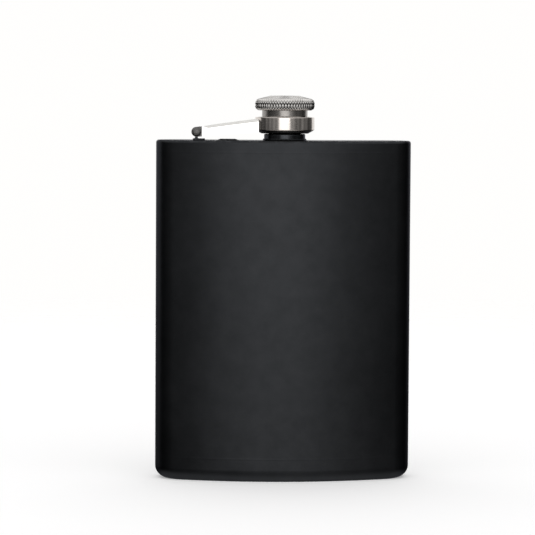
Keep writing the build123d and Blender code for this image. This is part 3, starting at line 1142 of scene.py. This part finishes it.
# heights are sines of the angle above the horizon
BELT_EDGE = (0.04, 0.08)     # where the belt gives way to the surround, above and below
WALL_FADE = (-0.14, 0.08)    # over these heights the walls' strength goes up
WALL_STRENGTH = (0.2, 2.4)
GLOW_FADE = (-0.6, -0.36)
FRONT_TO_BACK = (-0.3, 0.3)  # Y of the direction, over which the front gives way to the back
CANOPY_FRONT = 0.12          # height where the canopy starts, at the front and at the back
CANOPY_BACK = 0.36
CANOPY_BLUR = 0.1
OVERHEAD_FADE = (0.6, 0.75)

# camera, in metres and degrees
CAMERA_DISTANCE = 1.032
CAMERA_HEIGHT = 0.145
CAMERA_TILT = 3.73           # downwards
CAMERA_ROLL = 0.355


def brightness_ramp(tree, share, stops):
    """Brightness for a share of the way round, from (bearing, brightness) stops."""
    panels = add(tree, "ShaderNodeValToRGB", Fac=share)
    ramp = panels.color_ramp
    while len(ramp.elements) > 1:
        ramp.elements.remove(ramp.elements[-1])
    for index, (degrees, brightness) in enumerate(stops):
        position = degrees / 360 + 0.5
        stop = ramp.elements[0] if index == 0 else ramp.elements.new(position)
        stop.position = position
        stop.color = (brightness / BRIGHTEST,) * 3 + (1,)
    return math_node(tree, "MULTIPLY", panels.outputs["Color"], BRIGHTEST)


def build_studio():
    """Plain soft studio: upright panels and gaps all round, a soft light overhead, white beyond."""
    world = bpy.data.worlds.new("studio")
    bpy.context.scene.world = world
    world.use_nodes = True
    tree = world.node_tree
    tree.nodes.clear()
    direction = tree.nodes.new("ShaderNodeTexCoord").outputs["Generated"]
    split = add(tree, "ShaderNodeSeparateXYZ", Vector=direction).outputs
    bearing = math_node(tree, "ARCTAN2", split["X"], math_node(tree, "MULTIPLY", split["Y"], -1.0))
    turns = math_node(tree, "DIVIDE", bearing, 2 * math.pi)
    middle = 0.5 - CAMERA_BEARING / 360
    share = math_node(tree, "FRACT", math_node(tree, "ADD", turns, middle))
    rise = split["Z"]
    in_belt = remap(tree, math_node(tree, "ABSOLUTE", rise), *BELT_EDGE, 1, 0)
    strength = remap(tree, rise, *WALL_FADE, *WALL_STRENGTH)
    surround, belt = (brightness_ramp(tree, share, stops) for stops in (SURROUND, BELT))
    walls = math_node(tree, "MULTIPLY", mix_numbers(tree, in_belt, surround, belt), strength)
    walls = math_node(tree, "ADD", walls, remap(tree, rise, *GLOW_FADE, FLOOR_GLOW, 0))
    canopy_edge = remap(tree, split["Y"], *FRONT_TO_BACK, CANOPY_FRONT, CANOPY_BACK)
    in_canopy = remap(tree, math_node(tree, "SUBTRACT", rise, canopy_edge), 0, CANOPY_BLUR)
    high_wall = remap(tree, split["Y"], *FRONT_TO_BACK, HIGH_FRONT, HIGH_BACK)
    canopy = mix_numbers(tree, remap(tree, rise, *OVERHEAD_FADE), high_wall, OVERHEAD)
    light = mix_numbers(tree, in_canopy, walls, canopy)
    seen = tree.nodes.new("ShaderNodeLightPath").outputs["Is Camera Ray"]
    shown = mix_numbers(tree, seen, light, 1.0)
    background = add(tree, "ShaderNodeBackground", Strength=shown, Color=BACKGROUND)
    output = tree.nodes.new("ShaderNodeOutputWorld")
    tree.links.new(background.outputs[0], output.inputs["Surface"])


def build_camera():
    """A long lens, a little to the left and above, rolled by a fraction of a degree."""
    data = bpy.data.cameras.new("camera")
    data.sensor_width = 36
    data.lens = 187
    data.shift_x = -0.030
    data.shift_y = 0.005
    camera = bpy.data.objects.new("camera", data)
    bpy.context.scene.collection.objects.link(camera)
    bearing = math.radians(CAMERA_BEARING)
    camera.location = (
        CAMERA_DISTANCE * math.sin(bearing),
        -CAMERA_DISTANCE * math.cos(bearing),
        CAMERA_HEIGHT,
    )
    turn = Euler((math.radians(90 - CAMERA_TILT), 0, bearing)).to_matrix()
    roll = Euler((0, 0, math.radians(CAMERA_ROLL))).to_matrix()
    camera.rotation_euler = (turn @ roll).to_euler()
    bpy.context.scene.camera = camera


build_floor()
build_studio()
build_camera()
bpy.context.scene.view_settings.view_transform = "Standard"
